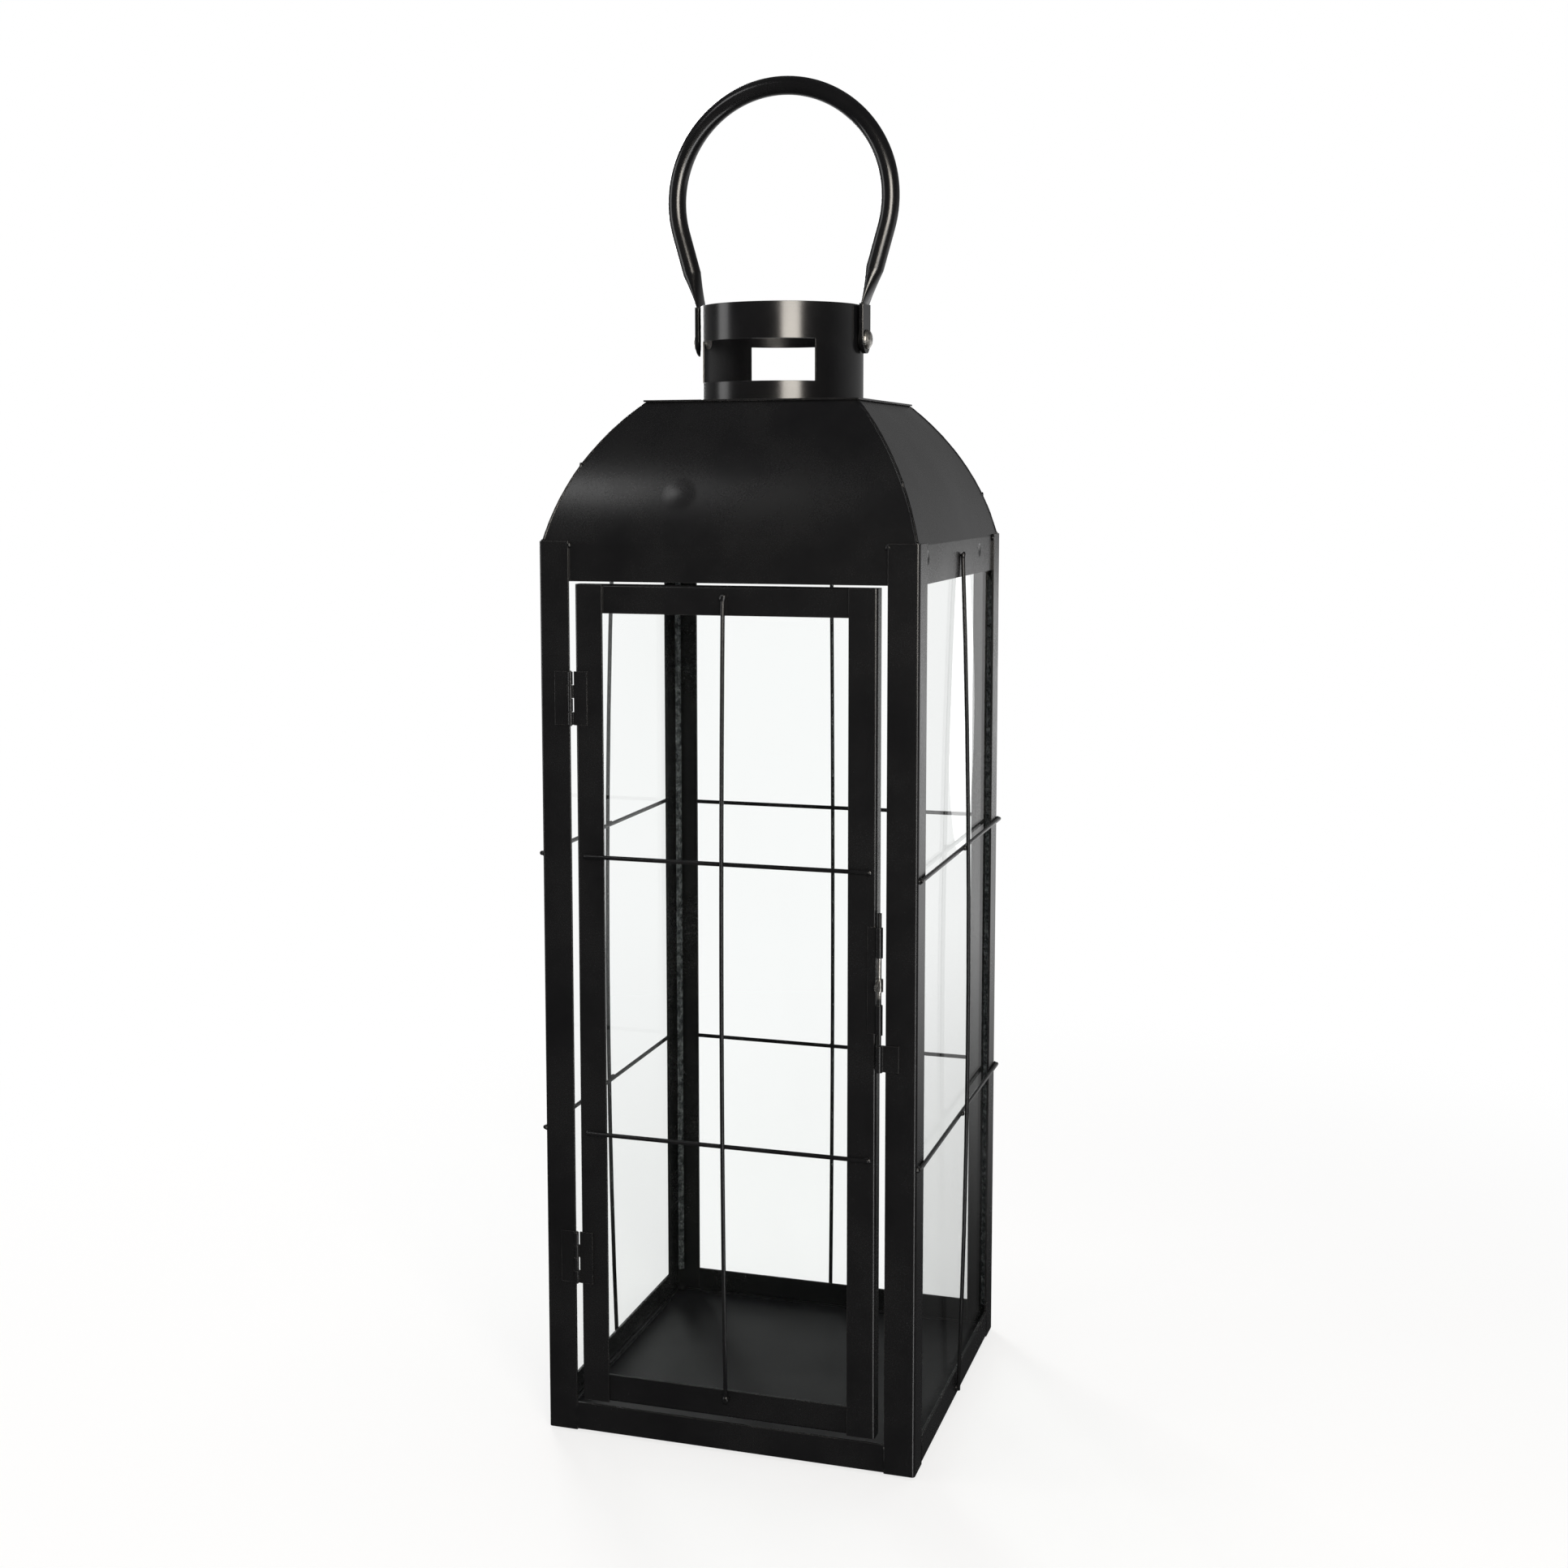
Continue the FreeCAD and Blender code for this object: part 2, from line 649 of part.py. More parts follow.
def upright_wire(label, bottom, top, low_face, high_face, across, turn=0):
    """A wire that stands on two faces and bows outward over the level wires.

    It is drawn as for the front: low_face and high_face are how far out the surfaces
    are that its ends lie on, and across is its place along the face.
    """
    body = new_body(label)
    path = sketch_on(body, label + "_path", "YZ_Plane", across)
    low_y, high_y = -(low_face + wire_radius), -(high_face + wire_radius)
    rise, drift, bow = top - bottom, high_y - low_y, cells["wire_bow"]
    radius = ((rise * rise + drift * drift) / 4 + bow * bow) / (bow * 2)
    lower, upper = vector(low_y, bottom), vector(high_y, top)
    chord = upper - lower
    inward = Vector(chord.y, -chord.x, 0).normalize()
    centre = (lower + upper) / 2 + inward * (radius.value - bow.value)
    ring = Part.Circle(centre, Vector(0, 0, 1), radius.value)
    angles = [math.atan2(end.y - centre.y, end.x - centre.x) % math.tau
              for end in (upper, lower)]
    arc = path.addGeometry(Part.ArcOfCircle(ring, *angles))
    pin_point(path, arc, 1, high_y, top)
    pin_point(path, arc, 2, low_y, bottom)
    number = path.addConstraint(Sketcher.Constraint("Radius", arc, radius.value))
    bind(path, f"Constraints[{number}]", radius)
    section = sketch_on(body, label + "_section", "XY_Plane", bottom)
    circle(section, across, low_y, wire_radius)
    pipe = body.newObject("PartDesign::AdditivePipe", label + "_wire")
    pipe.Profile = section
    pipe.Spine = path
    body.Placement = Placement(Vector(), Rotation(Vector(0, 0, 1), turn))


def fixed_wires():
    for side, turn in (("right", 90), ("back", 180), ("left", 270)):
        for level in ("upper", "lower"):
            straight_wire(f"wire_{side}_{level}", WIRE_HEIGHTS[side][level], side)
        upright_wire(f"wire_{side}_upright", base + 3.3, cells["eave_height"] - 6.3,
                     half, inner_face, Dim.of(0), turn)


# ---------------------------------------------------------------- door
door_left, door_right = cells["door_left"], cells["door_right"]
door_bottom, door_top = cells["door_bottom"], cells["door_top"]
rail_front = front + frame_gauge


def door_stile(label, edge, side):
    """An upright angle bar at one edge of the door; side points inward along X."""
    body = new_body(label)
    sketch = sketch_on(body, label + "_section", "XY_Plane", door_bottom)
    polygon(sketch, angle_outline((edge, front), cells["door_member"] * side,
                                  cells["door_depth"], frame_gauge))
    bar = pad(body, label + "_pad", sketch, door_top - door_bottom)
    round_heel(body, label, bar, "x", "y", (edge, front))


def door_rail(label, edge, side):
    """A level angle bar behind the stiles' faces; side points inward along Z."""
    body = new_body(label)
    sketch = sketch_on(body, label + "_section", "YZ_Plane", door_left + frame_gauge)
    polygon(sketch, angle_outline((rail_front, edge), cells["door_depth"] - frame_gauge,
                                  cells["door_member"] * side, frame_gauge))
    bar = pad(body, label + "_pad", sketch, door_right - door_left - frame_gauge * 2)
    round_heel(body, label, bar, "y", "z", (rail_front, edge))


def door_pane():
    """The door's pane and the sealant that holds it against the frame."""
    side_gap = frame_gauge + 0.4
    back_of_rail = rail_front + frame_gauge
    low = (door_left + side_gap, back_of_rail + 0.1, door_bottom + side_gap)
    high = (door_right - side_gap, low[1] + cells["glass_gauge"], door_top - side_gap)
    pane("door_glass", low, high)
    corners = [
        (door_left + frame_gauge, high[1], 1, 1),
        (door_right - frame_gauge, high[1], -1, 1),
    ]
    sealant("door_glass_sealant", corners, low[2], high[2])


def door_wires():
    inset = 4.2
    start = door_left + inset
    for level in ("upper", "lower"):
        label = f"door_wire_{level}"
        height = WIRE_HEIGHTS["door"][level]
        wire = cylinder(label, wire_radius, door_right - door_left - inset * 1.7,
                        (start, front - wire_radius, height), (1, 0, 0))
        keep(wire, label)
    face = half - frame_gauge
    upright_wire("door_wire_upright", door_bottom + 8.3, door_top - 4.3, face, face,
                 (door_left + door_right) / 2)


# ---------------------------------------------------------------- hinges
knuckle_count = 4
knuckle_gap = 0.15
hinge_axis_y = front - cells["hinge_barrel"]


def hinge_leaf(label, middle, side, knuckles):
    """One leaf of a butt hinge: side is -1 on the post and 1 on the door."""
    leaf_width, gauge = cells["hinge_leaf"], cells["hinge_leaf_gauge"]
    barrel, height = cells["hinge_barrel"], cells["hinge_height"]
    axis_x, bottom = cells["hinge_axis_x"], middle - height / 2
    pitch = height / knuckle_count
    clear_of_barrel = axis_x + (barrel + 0.4) * side
    outer_edge = axis_x + leaf_width * side
    ends = sorted((clear_of_barrel, outer_edge), key=lambda dim: dim.value)
    shapes = [box(label + "_plate", (ends[0], front - gauge, bottom),
                  (ends[1], front, bottom + height))]
    for index in knuckles:
        low = bottom + pitch * index + knuckle_gap
        length = pitch - knuckle_gap * 2
        name = f"{label}_knuckle_{index}"
        shapes.append(cylinder(name, barrel, length, (axis_x, hinge_axis_y, low)))
        reach = sorted((axis_x, clear_of_barrel + side * 0.5), key=lambda dim: dim.value)
        shapes.append(box(name + "_root", (reach[0], front - gauge, low),
                          (reach[1], front, low + length)))
    # The pin is tight in the post's leaf and free in the door's.
    hole = cells["hinge_pin"] + (play if side > 0 else 0)
    bore = cylinder(label + "_bore", hole, height + 2, (axis_x, hinge_axis_y, bottom - 1))
    keep(cut(label, fuse(label + "_blank", shapes), bore), label)


def hinges():
    for level, height in HINGE_MIDDLES.items():
        middle = Dim.of(height)
        hinge_leaf(f"hinge_{level}_post_leaf", middle, -1, (1, 3))
        hinge_leaf(f"hinge_{level}_door_leaf", middle, 1, (0, 2))
        length = cells["hinge_height"]
        pin = cylinder(f"hinge_{level}_pin", cells["hinge_pin"], length + 0.6,
                       (cells["hinge_axis_x"], hinge_axis_y, middle - length / 2 - 0.3))
        keep(pin, f"hinge_{level}_pin")


# ---------------------------------------------------------------- latch
bolt_x = cells["bolt_axis_x"]
bolt_y = front - cells["guide_barrel"]
bolt_lift = 6.0


def latch_leaf(label, plate_x, knuckles, bottom, top, hole_play):
    """A leaf with knuckles that the bolt slides in; knuckles are (bottom, top) pairs."""
    gauge, barrel = cells["hinge_leaf_gauge"], cells["guide_barrel"]
    shapes = [box(label + "_plate", (plate_x[0], front - gauge, bottom),
                  (plate_x[1], front, top))]
    for index, (low, high) in enumerate(knuckles):
        name = f"{label}_knuckle_{index}"
        shapes.append(cylinder(name, barrel, high - low, (bolt_x, bolt_y, low)))
        reach = sorted((plate_x[0], plate_x[1], bolt_x), key=lambda dim: dim.value)
        shapes.append(box(name + "_root", (reach[0], front - gauge, low),
                          (reach[2], front, high)))
    bore = cylinder(label + "_bore", cells["bolt_radius"] + hole_play, top - bottom + 2,
                    (bolt_x, bolt_y, bottom - 1))
    keep(cut(label, fuse(label + "_blank", shapes), bore), label)


def latch_bolt():
    """A round bolt with a pointed thumb tab, drawn lifted just clear of the keeper."""
    keeper_top = cells["keeper_bottom"] + cells["keeper_height"]
    tip = keeper_top + 0.5
    top = cells["guide_top"] + bolt_lift + 0.6
    radius = cells["bolt_radius"]
    rod = cylinder("bolt_rod", radius, top - tip, (bolt_x, bolt_y, tip))
    tab_low = cells["guide_bottom"] + cells["guide_knuckle"] + bolt_lift + 0.3
    tab_height, tab_reach, tab_half = 5.6, 6.5, 0.8
    hub = cylinder("bolt_hub", radius + 0.8, tab_height, (bolt_x, bolt_y, tab_low))
    outline = doc.addObject("Sketcher::SketchObject", "bolt_tab_outline")
    outline.Placement = Placement(Vector(), Rotation(Vector(1, 1, 1), 120))
    bind(outline, "Placement.Base.x", bolt_x - tab_half)
    polygon(outline, [
        (bolt_y, tab_low),
        (bolt_y, tab_low + tab_height),
        (bolt_y - tab_reach * 0.75, tab_low + tab_height * 0.8),
        (bolt_y - tab_reach, tab_low + tab_height * 0.5),
        (bolt_y - tab_reach * 0.75, tab_low + tab_height * 0.2),
    ])
    tab = doc.addObject("Part::Extrusion", "bolt_tab")
    tab.Base = outline
    tab.DirMode = "Custom"
    tab.Dir = Vector(1, 0, 0)
    tab.Solid = True
    tab.LengthFwd = tab_half * 2
    keep(fuse("latch_bolt", [rod, hub, tab]), "latch_bolt")


def latch():
    bottom, top = cells["guide_bottom"], cells["guide_top"]
    knuckle = cells["guide_knuckle"]
    latch_leaf("latch_guide", (door_right - 4.0, door_right),
               [(bottom, bottom + knuckle), (top - knuckle, top)], bottom, top, play)
    keeper, height = cells["keeper_bottom"], cells["keeper_height"]
    latch_leaf("latch_keeper", (post_edge, post_edge + 6.3),
               [(keeper, keeper + height)], keeper, keeper + height, play * 2)
    latch_bolt()


# ---------------------------------------------------------------- assembly
for y_name, side_y in (("front", -1), ("back", 1)):
    for x_name, side_x in (("left", -1), ("right", 1)):
        corner_post(f"corner_post_{y_name}_{x_name}", side_x, side_y)
for side_name, quarter_turn in (("front", 0), ("right", 90), ("back", 180), ("left", 270)):
    base_rail(f"base_rail_{side_name}", quarter_turn)
    roof_panel(f"roof_panel_{side_name}", quarter_turn)
floor_plate()
feet()
roof_top_plate()
collar()
for side_name, sign in (("left", -1), ("right", 1)):
    handle_rivet(f"handle_rivet_{side_name}", sign)
    handle_spacer(f"handle_spacer_{side_name}", sign)
handle()
fixed_panes()
fixed_sealant()
fixed_wires()
door_stile("door_stile_left", door_left, 1)
door_stile("door_stile_right", door_right, -1)
door_rail("door_rail_bottom", door_bottom, 1)
door_rail("door_rail_top", door_top, -1)
door_pane()
door_wires()
hinges()
latch()
doc.recompute()

for item in doc.Objects:
    if "Invalid" in item.State or "Error" in item.State:
        raise RuntimeError(f"{item.Label} did not recompute: {item.State}")
os.makedirs("parts", exist_ok=True)
for item in sub_parts:
    if item.Shape.isNull() or not item.Shape.isValid() or not item.Shape.Solids:
        raise RuntimeError(f"{item.Label} has no valid solid")
    item.Shape.exportStep(f"parts/{item.Label}.step")
    print(f"{item.Label}: {len(item.Shape.Solids)} solid(s), {item.Shape.Volume:.1f} mm3")
print(f"{len(sub_parts)} sub-parts")
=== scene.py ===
import math

import bmesh
import bpy
from mathutils import Matrix, Vector, noise


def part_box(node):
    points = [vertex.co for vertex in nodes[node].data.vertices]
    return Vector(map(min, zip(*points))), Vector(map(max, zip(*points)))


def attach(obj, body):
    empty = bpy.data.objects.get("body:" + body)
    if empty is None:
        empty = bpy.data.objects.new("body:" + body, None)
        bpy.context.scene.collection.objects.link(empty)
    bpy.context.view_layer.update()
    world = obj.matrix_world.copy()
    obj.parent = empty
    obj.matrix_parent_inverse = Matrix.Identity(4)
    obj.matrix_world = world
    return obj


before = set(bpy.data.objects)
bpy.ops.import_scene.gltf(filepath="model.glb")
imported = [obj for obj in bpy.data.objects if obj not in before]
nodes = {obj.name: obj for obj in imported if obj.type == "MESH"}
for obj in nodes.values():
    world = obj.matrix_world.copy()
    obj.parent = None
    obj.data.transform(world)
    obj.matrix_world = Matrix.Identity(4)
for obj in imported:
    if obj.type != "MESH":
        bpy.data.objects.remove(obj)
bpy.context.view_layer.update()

MM = 0.001

# Colours of the powder coat: its own, in two tones, settled dust, and a paler edge that is partly wear and
# partly a painted highlight along the corners.
COAT_DARK, COAT_PALE = (0.0032, 0.0032, 0.0036), (0.0058, 0.0058, 0.0062)
DUST = (0.10, 0.098, 0.092)
EDGE_WEAR_AND_HIGHLIGHT = (0.12, 0.118, 0.115)

# Colour of the black paint on the bolt, outside its bare patch.
PAINT = (0.005, 0.005, 0.005)

# The roof's section in mm: an arc from the fold above the apron to the top plate.
ARC_RADIUS, ARC_CENTRE_OUT, ARC_CENTRE_Z = 125.0, -33.27, 398.25
FOLD_Z = 425.2

# The line where the posts' flanges end, and one just inside their outer face, in mm from the axis.
FLANGE_EDGE, POST_FACE = 75.5, 89.9


def mm(x, y, z):
    return Vector((x, y, z)) * MM


# ---------------------------------------------------------------- finishes

class Finish:
    """A material and its node tree, with one short call for each kind of node that the finishes share."""

    def __init__(self, name):
        self.material = bpy.data.materials.new(name)
        self.material.use_nodes = True
        self.tree = self.material.node_tree
        self.shader = self.tree.nodes["Principled BSDF"]
        self.output = self.tree.nodes["Material Output"]
        self.place = self.add("ShaderNodeTexCoord").outputs["Object"]
        self.surface = self.add("ShaderNodeNewGeometry")

    def add(self, kind, **settings):
        node = self.tree.nodes.new(kind)
        for key, value in settings.items():
            setattr(node, key, value)
        return node

    def put(self, socket, value):
        if hasattr(value, "is_output"):
            self.tree.links.new(value, socket)
        else:
            socket.default_value = value

    def set(self, **values):
        """Sets or feeds the shader's sockets, named with underscores for spaces."""
        for key, value in values.items():
            self.put(self.shader.inputs[key.replace("_", " ")], value)

    def math(self, operation, a, b=0.0, c=0.0):
        node = self.add("ShaderNodeMath", operation=operation)
        for socket, value in zip(node.inputs, (a, b, c)):
            self.put(socket, value)
        return node.outputs[0]

    def stretched(self, along):
        """Object coordinates scaled by along, so that a pattern runs lengthwise."""
        node = self.add("ShaderNodeVectorMath", operation="MULTIPLY")
        self.put(node.inputs[0], self.place)
        node.inputs[1].default_value = along
        return node.outputs[0]

    def noise(self, per_metre, detail=3.0, roughness=0.55, along=None):
        node = self.add("ShaderNodeTexNoise")
        self.put(node.inputs["Vector"], self.stretched(along) if along else self.place)
        node.inputs["Scale"].default_value = per_metre
        node.inputs["Detail"].default_value = detail
        node.inputs["Roughness"].default_value = roughness
        return node.outputs["Fac"]

    def remap(self, value, low, high, to_low=0.0, to_high=1.0):
        node = self.add("ShaderNodeMapRange", interpolation_type="SMOOTHSTEP")
        for socket, number in zip(node.inputs, (value, low, high, to_low, to_high)):
            self.put(socket, number)
        return node.outputs[0]

    def blend(self, share, first, second):
        node = self.add("ShaderNodeMix", data_type="RGBA")
        self.put(node.inputs["Factor"], share)
        for name, value in (("A", first), ("B", second)):
            socket = [s for s in node.inputs if s.name == name and s.type == "RGBA"][0]
            self.put(socket, (*value, 1.0) if isinstance(value, tuple) else value)
        return [s for s in node.outputs if s.type == "RGBA"][0]

    def edge(self, width):
        """1 on edges within width of a corner, 0 on flat faces."""
        rounded = self.add("ShaderNodeBevel", samples=4)
        rounded.inputs["Radius"].default_value = width
        dot = self.add("ShaderNodeVectorMath", operation="DOT_PRODUCT")
        self.put(dot.inputs[0], rounded.outputs[0])
        self.put(dot.inputs[1], self.surface.outputs["Normal"])
        return self.remap(dot.outputs["Value"], 0.94, 0.72)

    def upward(self):
        """1 where the surface faces up, 0 where it is upright."""
        parts = self.add("ShaderNodeSeparateXYZ")
        self.put(parts.inputs[0], self.surface.outputs["Normal"])
        return self.remap(parts.outputs["Z"], 0.6, 0.95)

    def near(self, point, radius):
        """1 at a point, falling to 0 at radius."""
        node = self.add("ShaderNodeVectorMath", operation="DISTANCE")
        self.put(node.inputs[0], self.place)
        node.inputs[1].default_value = point
        return self.remap(node.outputs["Value"], radius, 0.0)

    def bump(self, *layers, rounding=0.0):
        """Layers of (height, depth in metres, strength), deepest first, over corners rounded by rounding."""
        normal = None
        if rounding:
            corner = self.add("ShaderNodeBevel", samples=6)
            corner.inputs["Radius"].default_value = rounding
            normal = corner.outputs[0]
        for height, depth, strength in layers:
            node = self.add("ShaderNodeBump")
            node.inputs["Strength"].default_value = strength
            node.inputs["Distance"].default_value = depth
            self.put(node.inputs["Height"], height)
            if normal:
                self.put(node.inputs["Normal"], normal)
            normal = node.outputs[0]
        self.set(Normal=normal)


def powder_coat(name, gloss=0.25, wave=0.5, peeled=1.0, edge_wear_and_highlight=0.55, dusty=0.12, rounding=0.3 * MM, dents=()):
    """Satin black powder coat: orange peel, uneven sheet, a little dust on top, and paler edges that are
    partly wear and partly a painted highlight.

    gloss is the roughness, and wave, peeled, dusty and the edge strength (wear and painted highlight) are
    strengths. rounding softens corners.
    dents are (point, radius, depth), and a negative depth is a dimple.
    """
    coat = Finish(name)
    cloud = coat.noise(22, 4, 0.6)
    speck = coat.noise(900, 2, 0.6)
    peel = coat.noise(1300, 2, 0.5)
    grain = coat.noise(700, 2, 0.6, along=(1.0, 1.0, 0.12))
    base = coat.blend(coat.remap(cloud, 0.3, 0.7), COAT_DARK, COAT_PALE)
    dust = coat.math("MULTIPLY", coat.upward(), coat.remap(coat.noise(60, 6, 0.65), 0.45, 0.75))
    base = coat.blend(coat.math("MULTIPLY", dust, dusty), base, DUST)
    # Edges are blended towards a paler colour: partly wear, partly a painted highlight along the corners.
    if edge_wear_and_highlight:
        patchy = coat.remap(coat.noise(140, 4, 0.7), 0.35, 0.7, 0.25, 1.0)
        edge = coat.math("MULTIPLY", coat.edge(0.45 * MM), patchy)
        base = coat.blend(coat.math("MULTIPLY", edge, edge_wear_and_highlight), base, EDGE_WEAR_AND_HIGHLIGHT)
    rough = coat.remap(cloud, 0.25, 0.75, gloss - 0.02, gloss + 0.03)
    fleck = coat.math("SUBTRACT", speck, 0.5)
    rough = coat.math("ADD", rough, coat.math("MULTIPLY", fleck, 0.10 * peeled))
    rough = coat.math("ADD", rough, coat.math("MULTIPLY", dust, 0.4 * dusty))
    coat.set(Base_Color=base, Roughness=rough, IOR=1.5)
    sheet = coat.noise(9, 2, 0.4)
    layers = [(sheet, 2.2 * MM, wave), (grain, 0.03 * MM, 0.25 * peeled), (peel, 0.03 * MM, 0.4 * peeled)]
    for point, radius, depth in dents:
        layers.insert(1, (coat.near(point, radius), depth, 1.0))
    coat.bump(*layers, rounding=rounding)
    return coat.material


def window_glass(name):
    """Clear float glass with a faint green cast, faint smears, and no shadow of its own.

    Its index is lower than real glass has, so that a pane seen at a shallow angle stays clear.
    """
    glass = Finish(name)
    smear = glass.noise(14, 6, 0.62, along=(1.0, 1.0, 0.35))
    streak = glass.noise(90, 3, 0.7, along=(1.0, 1.0, 0.08))
    film = glass.math("MULTIPLY", glass.remap(smear, 0.52, 0.80), streak)
    glass.set(
        Base_Color=glass.blend(film, (0.975, 0.984, 0.980), (0.950, 0.958, 0.955)),
        Roughness=glass.remap(film, 0.0, 0.6, 0.0, 0.035),
        IOR=1.12,
        Transmission_Weight=1.0,
    )
    glass.bump((glass.noise(5, 2, 0.4), 0.5 * MM, 0.25))
    light = glass.add("ShaderNodeLightPath")
    clear = glass.add("ShaderNodeBsdfTransparent")
    clear.inputs["Color"].default_value = (0.94, 0.96, 0.95, 1.0)
    mix = glass.add("ShaderNodeMixShader")
    glass.put(mix.inputs[0], light.outputs["Is Shadow Ray"])
    glass.put(mix.inputs[1], glass.shader.outputs[0])
    glass.put(mix.inputs[2], clear.outputs[0])
    glass.put(glass.output.inputs["Surface"], mix.outputs[0])
    return glass.material


def bright_metal(name, colour, gloss, brushed, bare=None):
    """Metal with fine scratches along the piece and dull patches.

    bare is a point and a radius: black paint covers the piece outside it.
    """
    metal = Finish(name)
    patch = metal.noise(420, 4, 0.6)
    scratch = metal.noise(1800, 3, 0.7, along=brushed)
    dull = tuple(0.42 * c for c in colour)
    base = metal.blend(metal.remap(patch, 0.42, 0.72), colour, dull)
    bright = 1.0
    if bare:
        bright = metal.remap(metal.near(*bare), 0.10, 0.45)
        base = metal.blend(bright, PAINT, base)
    rough = metal.remap(scratch, 0.3, 0.7, gloss - 0.08, gloss + 0.14)
    metal.set(Base_Color=base, Metallic=bright, Roughness=rough)
    metal.bump((patch, 0.10 * MM, 0.35), (scratch, 0.05 * MM, 0.5))
    return metal.material


def silicone(name):
    """Glazing sealant: cloudy, uneven, half clear."""
    bead = Finish(name)
    lump = bead.noise(260, 3, 0.6)
    bead.set(
        Base_Color=bead.blend(bead.remap(lump, 0.35, 0.7), (0.016, 0.019, 0.021), (0.10, 0.11, 0.115)),
        Roughness=bead.remap(bead.noise(500, 2, 0.5), 0.3, 0.7, 0.14, 0.34),
        Transmission_Weight=0.15,
        IOR=1.41,
    )
    bead.bump((lump, 0.8 * MM, 0.8))
    return bead.material


def rubber(name):
    """Matt black rubber with moulding grain and a little grey scuffing."""
    foot = Finish(name)
    scuff = foot.remap(foot.noise(300, 5, 0.7), 0.5, 0.8)
    foot.set(
        Base_Color=foot.blend(scuff, (0.014, 0.014, 0.014), (0.045, 0.044, 0.042)),
        Roughness=foot.remap(scuff, 0.0, 1.0, 0.62, 0.85),
    )
    foot.bump((foot.noise(1500, 2, 0.6), 0.08 * MM, 0.7))
    return foot.material


black = powder_coat("powder_coat_black")
black_roof = powder_coat(
    "powder_coat_roof",
    gloss=0.26,
    wave=0.45,
    peeled=0.6,
    dents=[
        (mm(-24, -80, 447), 9 * MM, 0.30 * MM),
        (mm(88.8, -70, 419.5), 3.6 * MM, -0.9 * MM),
        (mm(88.8, 44, 419), 3.6 * MM, -0.9 * MM),
    ],
)
black_tube = powder_coat(
    "powder_coat_tube", gloss=0.20, wave=0.15, peeled=0.0, edge_wear_and_highlight=0.0, dusty=0.1, rounding=1.0 * MM
)
black_collar = powder_coat("powder_coat_collar", gloss=0.21, wave=0.15, peeled=0.10, edge_wear_and_highlight=0.3, dusty=0.1)
black_floor = powder_coat("powder_coat_floor", gloss=0.30, wave=0.7, peeled=0.4, dusty=0.0)
glass = window_glass("window_glass")
steel = bright_metal("rivet_steel", (0.62, 0.60, 0.57), 0.30, (1.0, 1.0, 1.0))
zinc = bright_metal(
    "bolt_steel", (0.46, 0.45, 0.43), 0.26, (1.0, 1.0, 0.08), bare=(mm(72.9, -91, 234.5), 15 * MM)
)
sealant = silicone("silicone_sealant")
foot_rubber = rubber("foot_rubber_black")

finish_of = {
    "glass": glass,
    "bare_steel": steel,
    "foot_rubber": foot_rubber,
    "sealant": sealant,
    "black_metal": black,
}
own_finish = {
    "handle": black_tube,
    "collar": black_collar,
    "floor_plate": black_floor,
    "latch_bolt": zinc,
}
for name, node in nodes.items():
    was = node.data.materials[0].name.split(".")[0]
    finish = own_finish.get(name, finish_of[was])
    if name.startswith("roof_panel"):
        finish = black_roof
    elif "wire" in name:
        finish = black_tube
    for material_slot in node.material_slots:
        material_slot.link = "OBJECT"
        material_slot.material = finish


# ---------------------------------------------------------------- pieces that the frame lacks

def piece_of(name, work, body, finish):
    """Turns a bmesh into a piece of the object that rides on a CAD body."""
    bmesh.ops.recalc_face_normals(work, faces=work.faces)
    mesh = bpy.data.meshes.new(name)
    work.to_mesh(mesh)
    work.free()
    mesh.shade_smooth()
    mesh.materials.append(finish)
    piece = bpy.data.objects.new(name, mesh)
    bpy.context.scene.collection.objects.link(piece)
    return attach(piece, body)


def lump(work, place, size, seed):
    """A weld blob: a round lump with an uneven skin, half sunk in the metal."""
    made = bmesh.ops.create_icosphere(work, subdivisions=3, radius=1.0)
    for vertex in made["verts"]:
        swell = 1.0 + 0.30 * noise.noise(vertex.co * 1.6 + Vector((seed, 0.0, 0.0)))
        swell += 0.10 * noise.noise(vertex.co * 5.0 + Vector((0.0, seed, 0.0)))
        vertex.co = place + Vector(c * s for c, s in zip(vertex.co * swell, size))


def bead(work, path, radius, uneven, sides=8, seed=0.0):
    """A closed round bead along a path of points. Its thickness wanders by uneven."""
    rings = []
    for i, point in enumerate(path):
        ahead = (path[min(i + 1, len(path) - 1)] - path[max(i - 1, 0)]).normalized()
        across = ahead.cross(Vector((0.31, 0.87, 0.38))).normalized()
        other = ahead.cross(across)
        wander = 1.0 + uneven * noise.noise(point / (3.0 * MM) + Vector((seed, seed, 0.0)))
        thick = radius * wander * (0.35 if i in (0, len(path) - 1) else 1.0)
        turns = [2.0 * math.pi * k / sides for k in range(sides)]
        spokes = [math.cos(turn) * across + math.sin(turn) * other for turn in turns]
        rings.append([work.verts.new(point + thick * spoke) for spoke in spokes])
    for near_ring, far_ring in zip(rings, rings[1:]):
        for k in range(sides):
            j = (k + 1) % sides
            work.faces.new((near_ring[k], near_ring[j], far_ring[j], far_ring[k]))
    work.faces.new(rings[0][::-1])
    work.faces.new(rings[-1])


def line(start, end, step):
    """Points about step apart from start to end."""
    count = max(2, round((end - start).length / step))
    return [start.lerp(end, i / count) for i in range(count + 1)]


def middle(name):
    low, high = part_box(name)
    return (Vector(low) + Vector(high)) / 2


def arc_out(z):
    """How far out from the axis the roof's skin is at the height z, in metres."""
    return ARC_CENTRE_OUT * MM + math.sqrt((ARC_RADIUS * MM) ** 2 - (z - ARC_CENTRE_Z * MM) ** 2)


